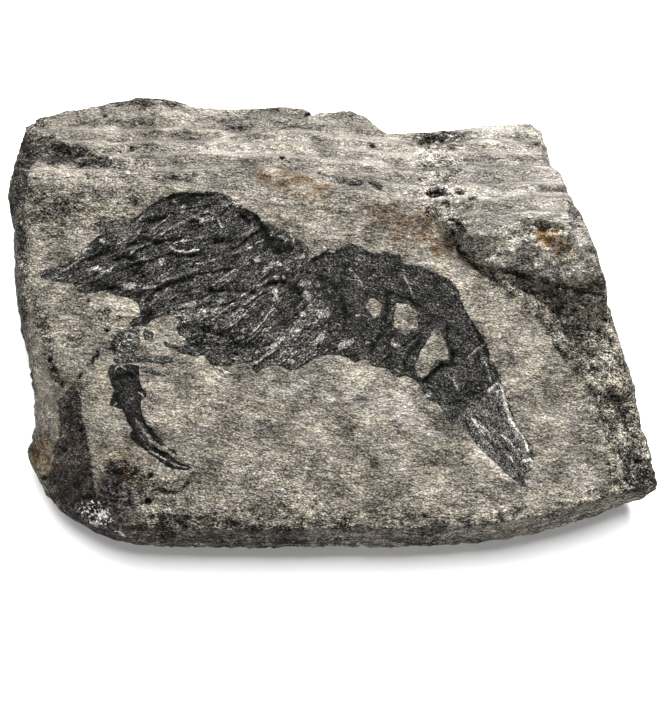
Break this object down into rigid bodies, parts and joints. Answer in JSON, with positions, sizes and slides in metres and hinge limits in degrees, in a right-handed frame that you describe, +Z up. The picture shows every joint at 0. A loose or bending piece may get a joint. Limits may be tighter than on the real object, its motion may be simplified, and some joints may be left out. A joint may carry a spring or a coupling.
{
  "type": "fossil shrimp on a rock slab",
  "caption": "Flattened shrimp fossil with rostrum, arched abdomen, tail fan and claw, on a loose block of laminated sandy shale.",
  "frame": {"origin": "middle of the bounding box's bottom, on the surface that the block lies on", "axes": "+X along the block's length towards the tail fan, +Y towards the bevelled back, +Z up out of the fossil's face"},
  "size_m": [0.1004, 0.0722, 0.028],
  "materials": {
    "sandy_shale": "rough, gritty, laminated",
    "carapace_cuticle": "dull carbonised film",
    "abdomen_cuticle": "dull carbonised film",
    "tail_fan_cuticle": "dull carbonised film",
    "claw_cuticle": "dull carbonised film",
    "legs_cuticle": "dull carbonised film"
  },
  "bodies": {
    "root": {"matrix": "sandy_shale", "carapace": "carapace_cuticle", "abdomen": "abdomen_cuticle", "tail_fan": "tail_fan_cuticle", "claw": "claw_cuticle", "legs": "legs_cuticle"}
  },
  "joints": []
}
